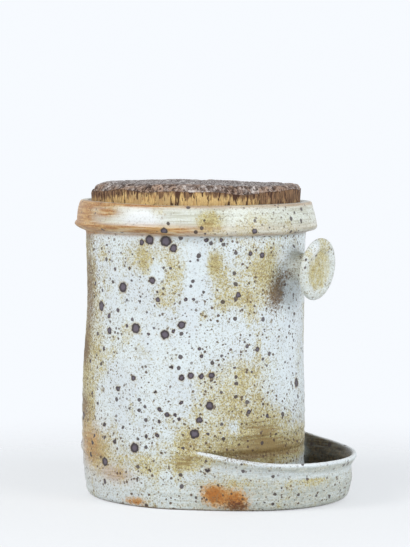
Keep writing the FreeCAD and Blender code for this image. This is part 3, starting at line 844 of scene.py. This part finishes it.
def kiln_marks(bench, noise, colour):
    """Painted highlights, burnt brown, orange where the glaze ran thin, and the tray's brown inside,
    darkened as painted shade.
    """
    whole = bench.ease(noise.fine, 0.68, 0.54, 0.6, 1)
    # painted highlights in white: on the collar, the knob and the tray's lip
    colour = bench.lay(colour, (227, 231, 232), bench.read("pale"), whole)
    burnt = bench.stir(bench.stir(bench.read("burnt"), noise.fine, 2.4), noise.mottle, 1.6)
    burnt = bench.ease(burnt, 0.15, 0.95, 0, 0.9)
    brown = bench.shades(noise.grain, 0.4, 0.6, (74, 50, 26), (128, 100, 60))
    colour = bench.lay(colour, brown, burnt)
    orange = bench.shades(noise.streak, 0.38, 0.56, (198, 158, 98), (156, 104, 50))
    orange = bench.lay(orange, (212, 184, 136), bench.ease(noise.fine, 0.48, 0.62, 0, 0.45))
    along = bench.ease(noise.streak, 0.34, 0.52, 0.65, 1.1)
    colour = bench.lay(colour, orange, bench.read("thin"), along)
    # the tray's inside: brown of the pooled glaze, darkened further as painted shade
    inside = bench.shades(noise.mottle, 0.3, 0.7, (40, 29, 12), (100, 82, 50))
    along = bench.ease(noise.streak, 0.3, 0.7, 0.8, 1)
    return bench.lay(colour, inside, bench.read("in_tray"), along), burnt


def rust_marks(bench, noise, colour, burnt):
    """Bright rust, scorched where it is burnt too."""
    rusty = bench.read("rust")
    ragged = bench.stir(rusty, noise.mottle, 1.3)
    rust = bench.shades(ragged, 0.4, 1.05, (196, 152, 90), (168, 104, 36))
    rust = bench.lay(rust, (128, 80, 38), bench.ease(noise.fine, 0.5, 0.64, 0, 0.6))
    colour = bench.lay(colour, rust, bench.ease(ragged, 0.1, 0.75))
    return bench.lay(colour, (88, 46, 20), burnt, bench.ease(rusty, 0.2, 0.5))


# loose specks of iron, from dust to spots: spacing, largest radius, share of places, blur
SPECKS = (
    (1.4, 0.85, 0.75, 0.35), (3.1, 1.15, 0.58, 0.15), (6.2, 1.9, 0.42, 0.2), (14, 2.3, 0.08, 0.4),
)


def iron_specks(bench, place, colour, ochre):
    """Dust, small specks and middling ones; returns the small ones and the loose spots, too."""
    wander = bench.node("TexNoise", {"Vector": place, "Scale": 0.35, "Detail": 3})
    wander = bench.vector("SCALE", wander.outputs["Color"], scale=1.6)
    shifted = bench.vector("ADD", place, wander)
    dust, small, middling, large = (
        bench.group("specks", vector=shifted, spacing=gap, largest=most, share=share, blur=blur)
        for gap, most, share, blur in SPECKS
    )
    lively = bench.times(bench.read("calm"), -0.85, 1)
    dusty = bench.times(ochre, 0.4, 0.5)
    colour = bench.lay(colour, (126, 110, 76), bench.times(dust["Mask"], dusty), lively)
    colour = bench.lay(colour, (84, 64, 46), bench.times(small["Mask"], 0.94), lively)
    iron = bench.mix(middling["Shade"], srgb(58, 42, 34), srgb(76, 66, 70))
    colour = bench.lay(colour, iron, middling["Mask"], 0.92)
    return colour, small["Mask"], large["Nearness"]


def named_spots(bench, place):
    """Nearness to the closest of the named iron spots, 1 at its rim; none is quite round."""
    wander = bench.node("TexNoise", {"Vector": place, "Scale": 0.5, "Detail": 1})
    wander = bench.vector("SUBTRACT", wander.outputs["Color"], (0.5, 0.5, 0.5))
    place = bench.vector("ADD", place, bench.vector("SCALE", wander, scale=2))
    nearest = None
    for turn, height, radius, *out in SPOTS:
        gap = bench.vector("DISTANCE", place, on_wall(turn, height, *out))
        gap = bench.times(gap, 1 / radius)
        nearest = gap if nearest is None else bench.math("MINIMUM", nearest, gap)
    return nearest


def iron_spots(bench, place, colour, loose):
    """Large spots with a grey heart, a dark rim and a tan halo; returns where they are, too."""
    near = bench.math("MINIMUM", named_spots(bench, place), loose)
    colour = bench.lay(colour, (170, 150, 110), bench.ease(near, 1, 1.45, 0.45, 0))
    heart = bench.ease(near, 0.35, 0.8, 1, 0)
    spot = bench.ease(near, 0.85, 1.1, 1, 0)
    return bench.lay(colour, bench.mix(heart, srgb(48, 38, 40), srgb(96, 88, 100)), spot), spot


def glazed_stoneware():
    """Milky speckled glaze: ochre where it is thin, rust at the foot, iron spots melted through."""
    material, bench, shader = new_material("glazed_stoneware")
    place = bench.millimetres()
    noise = glaze_noises(bench, place)
    colour, ochre = ochre_breaks(bench, noise, milky_ground(bench, noise))
    colour, burnt = kiln_marks(bench, noise, colour)
    colour = rust_marks(bench, noise, colour, burnt)
    colour, small, loose = iron_specks(bench, place, colour, ochre)
    colour, spot = iron_spots(bench, place, colour, loose)

    # the foot's edge is wiped bare of glaze
    height = bench.node("SeparateXYZ", {"Vector": place}).outputs["Z"]
    bare = bench.times(noise.mottle, -1.6, height)
    bare = bench.ease(bare, -0.4, 0.6, 1, 0)
    colour = bench.lay(colour, bench.mix(noise.fine, srgb(88, 70, 52), srgb(128, 104, 78)), bare)

    roughness = bench.times(bench.math("MAXIMUM", ochre, bare), 0.22, 0.36)
    sunk = bench.times(spot, -0.35)
    relief = bench.times(bench.noise(place, 0.9, 3, 0.6), 0.6, sunk)
    relief = bench.times(small, -0.12, relief)
    finish_material(bench, shader, colour, roughness, relief, 0.5, 0.0005)
    return material


def bark_drips(bench, place, up):
    """Where the bark's brown runs down the sawn side, most of all at the right."""
    right = bench.vector("DOT_PRODUCT", place, (*ACROSS, 0))
    at_right = bench.ease(right, 12, 62, 0, 1.05)
    ends = bench.math("MAXIMUM", at_right, bench.ease(right, -76, -50, 0.75, 0.05))
    ragged = bench.drawn(place, (1, 1, 0.3), 0.22, 4, 0.7)
    brown = bench.stir(bench.math("ADD", up, ends), ragged, 2.6)
    return bench.ease(brown, 0.55, 1, 0, 0.9)


def cork_slits(bench, place, up):
    """Dark upright slits, wide ones and narrow ones, more of them under the bark."""
    slits = []
    for size, level, length in ((0.42, 0.63, 0.14), (0.85, 0.655, 0.2)):
        wave = bench.drawn(place, (1, 1, length), size, 2, 0.6)
        wave = bench.times(up, 0.07, wave)
        slits.append(bench.ease(wave, level - 0.03, level + 0.02))
    return bench.math("MAXIMUM", *slits)


def cork_cut():
    """The sawn side of the cork: warm straw, with dark upright slits hanging from the bark."""
    material, bench, shader = new_material("cork_cut")
    place = bench.millimetres()
    up = bench.ease(bench.node("SeparateXYZ", {"Vector": place}).outputs["Z"], 217, 227.5)
    hair = bench.drawn(place, (1, 1, 0.12), 1.3, 3, 0.65)
    tone = bench.noise(place, 0.11, 2)
    colour = bench.shades(tone, 0.38, 0.62, (220, 188, 128), (192, 162, 114))
    colour = bench.lay(colour, (168, 120, 70), bench.ease(hair, 0.46, 0.66, 0, 0.8))
    grit = bench.group("grit", vector=place, size=0.9, level=0.64, blur=0.08)
    colour = bench.lay(colour, (132, 84, 48), grit["Mask"], 0.6)
    bark = bench.shades(hair, 0.42, 0.6, (134, 98, 70), (74, 50, 38))
    colour = bench.lay(colour, bark, bark_drips(bench, place, up))
    slit = cork_slits(bench, place, up)
    colour = bench.lay(colour, (62, 32, 18), slit, 0.92)
    relief = bench.times(slit, -1, bench.times(hair, 0.5))
    roughness = bench.times(hair, 0.1, 0.8)
    finish_material(bench, shader, colour, roughness, relief, 0.8, 0.0008)
    return material


def cork_bark():
    """The tree's own bark: weathered grey crags, brown in the crevices and at the edge."""
    material, bench, shader = new_material("cork_bark")
    place = bench.millimetres()
    aside = bench.vector("ADD", place, (40, 7, 3))
    grit = bench.group("grit", vector=place, size=1.1, level=0.56, blur=0.1)
    flake = bench.group("grit", vector=place, size=2.3, level=0.54, blur=0.05)
    pit = bench.group("grit", vector=aside, size=2.4, level=0.555, blur=0.05)
    broad = bench.noise(place, 0.07, 3, 0.6)
    colour = bench.shades(broad, 0.38, 0.62, (144, 136, 134), (178, 170, 168))
    colour = bench.lay(colour, (104, 82, 70), grit["Mask"], 0.7)
    colour = bench.lay(colour, (238, 233, 230), flake["Mask"])
    brown = bench.mix(grit["Mask"], srgb(190, 156, 128), srgb(128, 88, 62))
    colour = bench.lay(colour, brown, bench.read("rim"), bench.ease(broad, 0.38, 0.6, 0.25, 0.9))
    colour = bench.lay(colour, (62, 44, 36), pit["Mask"], 0.85)
    uneven = bench.times(grit["Height"], 0.8, 0.6)
    colour = bench.lay(colour, (66, 44, 34), bench.read("depth"), uneven)
    roughness = bench.times(grit["Height"], 0.1, 0.85)
    relief = bench.math("ADD", grit["Height"], bench.noise(place, 2.2, 2, 0.7))
    finish_material(bench, shader, colour, roughness, relief, 0.9, 0.0009)
    return material


# --- the jar ---


def stoneware():
    """The jar with its collar, tray and knob: one fired piece."""
    places, quads, middle = jar_net()
    places, fans = hub_faces(places, middle)
    places = fit_in(places)
    piece = new_piece("stoneware", places, [*quads.tolist(), *fans], [glazed_stoneware()])
    paint_glaze(piece, places)
    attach(piece, "root")
    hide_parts("stoneware_jar")
    return piece


# --- the cork ---

SOLE, SIDE, BARK = 0, 1, 2  # the cork's parts
CORK_TURNS, PLATES = 440, 300  # points round the cork, plates of bark
SLIT_SEED, CRAG_SEED, PLATE_SEED, SWELL_SEED, PATCH_SEED = 11, 21, 31, 41, 51


def lattice_noise(places, size, seed):
    """Smooth noise from 0 to 1 over a random lattice that repeats."""
    table = np.random.default_rng(seed).random((32, 32, 32))
    grid = np.asarray(places) / size
    base = np.floor(grid).astype(int)
    part = grid - base
    part = part * part * (3 - 2 * part)
    total = 0
    for corner in CORNERS:
        share = np.prod([part[:, i] if corner[i] else 1 - part[:, i] for i in range(3)], axis=0)
        total = total + share * table[tuple((base[:, i] + corner[i]) % 32 for i in range(3))]
    return total


def crags(places, size, seed):
    """Sharp ridges at three sizes, from 0 to about 1."""
    total, weight = 0, 0
    for octave in range(3):
        share = 0.55**octave
        wave = 1 - np.abs(2 * lattice_noise(places, size / 2**octave, seed + octave) - 1)
        total = total + share * wave**1.6
        weight += share
    return total / weight


def crevices(places):
    """Nearness to the borders between random plates of bark, 1 on a border."""
    spots = np.random.default_rng(PLATE_SEED).uniform(-82, 82, (PLATES, 2))
    bend = np.stack([lattice_noise(places, 9, PLATE_SEED + k) - 0.5 for k in (5, 6)], 1)
    flat = places[:, :2] + 3 * bend
    gaps = np.sort(((flat[:, None] - spots) ** 2).sum(2), 1)[:, :2]
    return np.exp(-(np.sqrt(gaps[:, 1]) - np.sqrt(gaps[:, 0])) / 1.1)


def cork_radius(z):
    """The slab's radius at a height: it tapers as the mouth does."""
    return MOUTH_RADIUS - CORK_GAP + (z - RIM_HEIGHT) * MOUTH_TAPER


def cork_rings():
    """The cork's section from the sole's middle to the top's middle: radius, height, part."""
    brim = cork_radius(CORK_BRIM)
    rings = [(r, CORK_SOLE, SOLE) for r in np.linspace(8, cork_radius(CORK_SOLE) - 1.5, 12)]
    side = CORK_SOLE + 1.5 + (CORK_BRIM - 0.6 - CORK_SOLE - 1.5) * np.linspace(0, 1, 30)
    rings += [(cork_radius(z), z, SIDE) for z in side]
    rise = CORK_TOP - CORK_BRIM
    for turn in np.radians(np.linspace(4, 90, 12)):
        rings.append((brim - 3.4 + 3.4 * math.cos(turn), CORK_BRIM + rise * math.sin(turn), BARK))
    rings += [(r, CORK_TOP, BARK) for r in np.arange(brim - 4.2, 3, -0.95)]
    return np.array(rings)


def slab_faces(rings):
    """Quads from ring to ring, and a fan round the hub at each end."""
    here = np.arange(CORK_TURNS)
    there = np.roll(here, -1)
    faces = []
    for start in np.arange(rings - 1) * CORK_TURNS:
        quad = [here, there, there + CORK_TURNS, here + CORK_TURNS]
        faces.append(np.stack(quad, 1) + start)
    faces = np.concatenate(faces).tolist()
    last, sole_hub = (rings - 1) * CORK_TURNS, rings * CORK_TURNS
    for n, after in zip(here.tolist(), there.tolist()):
        faces.append([sole_hub, after, n])
        faces.append([sole_hub + 1, last + n, last + after])
    return faces


def cork_slab():
    """A thick slice of cork oak, sawn at the side, its bark left on top."""
    rings = cork_rings()
    r, z, kind = np.repeat(rings, CORK_TURNS, 0).T
    turn = np.tile(np.linspace(0, 2 * math.pi, CORK_TURNS, endpoint=False), len(rings))
    places = np.stack([r * np.cos(turn), r * np.sin(turn), z], 1)
    places, depth, rim = weather(places, kind, turn)
    hubs = np.array([[0, 0, CORK_SOLE], [0, 0, places[-CORK_TURNS:, 2].mean()]])
    places = fit_in(np.concatenate([places, hubs]))
    piece = new_piece("cork_slab", places, slab_faces(len(rings)), [cork_cut(), cork_bark()])
    barky = np.repeat(rings[:-1, 2] == BARK, CORK_TURNS)
    barky = np.append(barky, np.tile([False, True], CORK_TURNS))
    piece.data.polygons.foreach_set("material_index", barky.astype(np.int32))
    paint(piece, depth=np.append(depth, [0, 0]), rim=np.append(rim, [0, 0]))
    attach(piece, "root")
    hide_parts("cork_lid")
    return piece


def weather(places, kind, turn):
    """Slits in the sawn side, crags and crevices in the bark, and a wandering brim."""
    x, y, z = places.T
    flat, across = np.hypot(x, y), x * ACROSS[0] + y * ACROSS[1]
    sawn, high = (kind == SIDE), (kind == BARK).astype(float)

    around = np.stack([turn * 77, z * 0.16, np.zeros(len(places))], 1)
    slits = ease(0.66, 0.86, lattice_noise(around, 1.7, SLIT_SEED)) * sawn
    slits *= ease(CORK_SOLE + 2, CORK_SOLE + 6, z)
    rough = 1 - crags(places, 5, CRAG_SEED)
    plates = crevices(places) * ease(0.3, 0.75, lattice_noise(places, 11, PATCH_SEED))
    broad = lattice_noise(places, 22, SWELL_SEED)

    drop = high * (1.6 * rough**1.6 + 1.1 * plates + 0.6 * broad - 0.5)
    drop *= ease(CORK_BRIM, CORK_BRIM + 3, z) * 0.9 + 0.1
    worn = 3.2 * ease(62, 78, flat) ** 2 * ease(10, 66, -across)
    drop += high * (1.9 * ease(-20, 60, across) + worn)
    inward = high * (1.6 * rough + plates) * ease(60, 75, flat) + 0.7 * slits
    inward += 1.6 * ease(30, 74, -across) * ease(CORK_BRIM - 3, CORK_BRIM + 2, z)

    wander = 0.9 * np.sin(3 * turn + 0.5) + 0.6 * np.sin(7 * turn + 2) + 0.5 * np.sin(13 * turn)
    brim = sawn * ease(CORK_BRIM - 7, CORK_BRIM - 1, z)
    brim += high * (1 - ease(CORK_BRIM, CORK_TOP - 1, z))
    moved = places.copy()
    moved[:, 2] += brim * (wander - 0.8) - drop
    moved[:, :2] -= np.stack([np.cos(turn), np.sin(turn)], 1) * inward[:, None]
    depth = np.clip(0.9 * high * (plates + ease(0.4, 0.8, rough)), 0, 1)
    return moved, depth, high * ease(64, 77, flat) * 0.9


# --- the studio ---


def look_at(thing, target):
    direction = Vector(target) - thing.location
    thing.rotation_euler = direction.to_track_quat("-Z", "Y").to_euler()


# the camera's lens, its way back from the jar, its shift to the right, its height and its tilt
CAMERA_LENS, CAMERA_AWAY, CAMERA_ASIDE, CAMERA_HEIGHT, CAMERA_DOWN = 151.2, 1.7, 0.0067, 0.276, 3.8


def studio_camera():
    """A long lens in front of the jar, a little above its rim and tilted down."""
    data = bpy.data.cameras.new("camera")
    data.lens, data.sensor_width, data.sensor_fit = CAMERA_LENS, 36, "AUTO"
    camera = bpy.data.objects.new("camera", data)
    bpy.context.scene.collection.objects.link(camera)
    away, across = Vector((ACROSS[1], -ACROSS[0], 0)), Vector((*ACROSS, 0))
    camera.location = away * CAMERA_AWAY + across * CAMERA_ASIDE + Vector((0, 0, CAMERA_HEIGHT))
    camera.rotation_euler = (math.radians(90 - CAMERA_DOWN), 0, math.radians(CAMERA_TURN))
    bpy.context.scene.camera = camera


FLOOR_SIZE, FLOOR_DROP = 3, 0.05  # metres from its middle to its edge, millimetres under the jar


def studio_floor():
    """Pale paper that keeps the jar's shadow, and fades into the white further out."""
    square = np.array([(-1, -1, 0), (1, -1, 0), (1, 1, 0), (-1, 1, 0)]) * FLOOR_SIZE / MM
    material, bench, shader = new_material("floor_paper")
    tooth = bench.noise(bench.millimetres(), 0.4, 2)
    colour = bench.mix(tooth, srgb(236, 236, 236), srgb(240, 240, 240))
    bench.fill(shader, {"Base Color": colour, "Roughness": 0.9})
    away = bench.vector("LENGTH", bench.millimetres())
    clear = bench.node("BsdfTransparent")
    seen = bench.node("LightPath").outputs["Is Camera Ray"]
    fading = bench.times(seen, bench.ease(away, 130, 480, 0.55, 1))
    fade = bench.node("MixShader", {0: fading, 1: shader.outputs[0], 2: clear.outputs[0]})
    output = material.node_tree.nodes["Material Output"]
    bench.fill(output, {"Surface": fade.outputs[0]})
    places = square - (0, 0, FLOOR_DROP)
    floor = new_piece("floor", places, [[0, 1, 2, 3]], [material], smooth=False)


WORLD_LIGHT = 0.5


def studio_world():
    world = bpy.data.worlds.new("studio")
    bpy.context.scene.world = world
    world.use_nodes = True
    bench = Bench(world.node_tree)
    back = world.node_tree.nodes["Background"]
    path = bench.node("LightPath")
    seen = bench.math("MAXIMUM", path.outputs["Is Camera Ray"], path.outputs["Is Glossy Ray"])
    seen = bench.math("MAXIMUM", seen, path.outputs["Is Transmission Ray"])
    strength = bench.times(seen, 1 - WORLD_LIGHT, WORLD_LIGHT)
    bench.fill(back, {"Color": (0.93, 0.96, 1, 1), "Strength": strength})


# name, place, aim, width, height, watts, colour
LAMPS = (
    ("key", (-0.75, -1.35, 1.1), (0, 0, 0.12), 0.9, 0.9, 17, (1, 0.99, 0.97)),
    ("fill", (1.70, -0.25, 0.75), (0, 0, 0.12), 0.9, 0.9, 16.8, (0.96, 0.98, 1)),
)


def studio_lamps():
    for name, place, aim, wide, tall, watts, colour in LAMPS:
        data = bpy.data.lights.new(name, "AREA")
        data.shape, data.size, data.size_y = "RECTANGLE", wide, tall
        data.energy, data.color = watts, colour
        lamp = bpy.data.objects.new(name, data)
        bpy.context.scene.collection.objects.link(lamp)
        lamp.location = place
        look_at(lamp, aim)


bpy.context.scene.view_settings.view_transform = "Standard"
studio_camera()
studio_world()
studio_lamps()
studio_floor()
speck_group()
grit_group()
stoneware()
cork_slab()
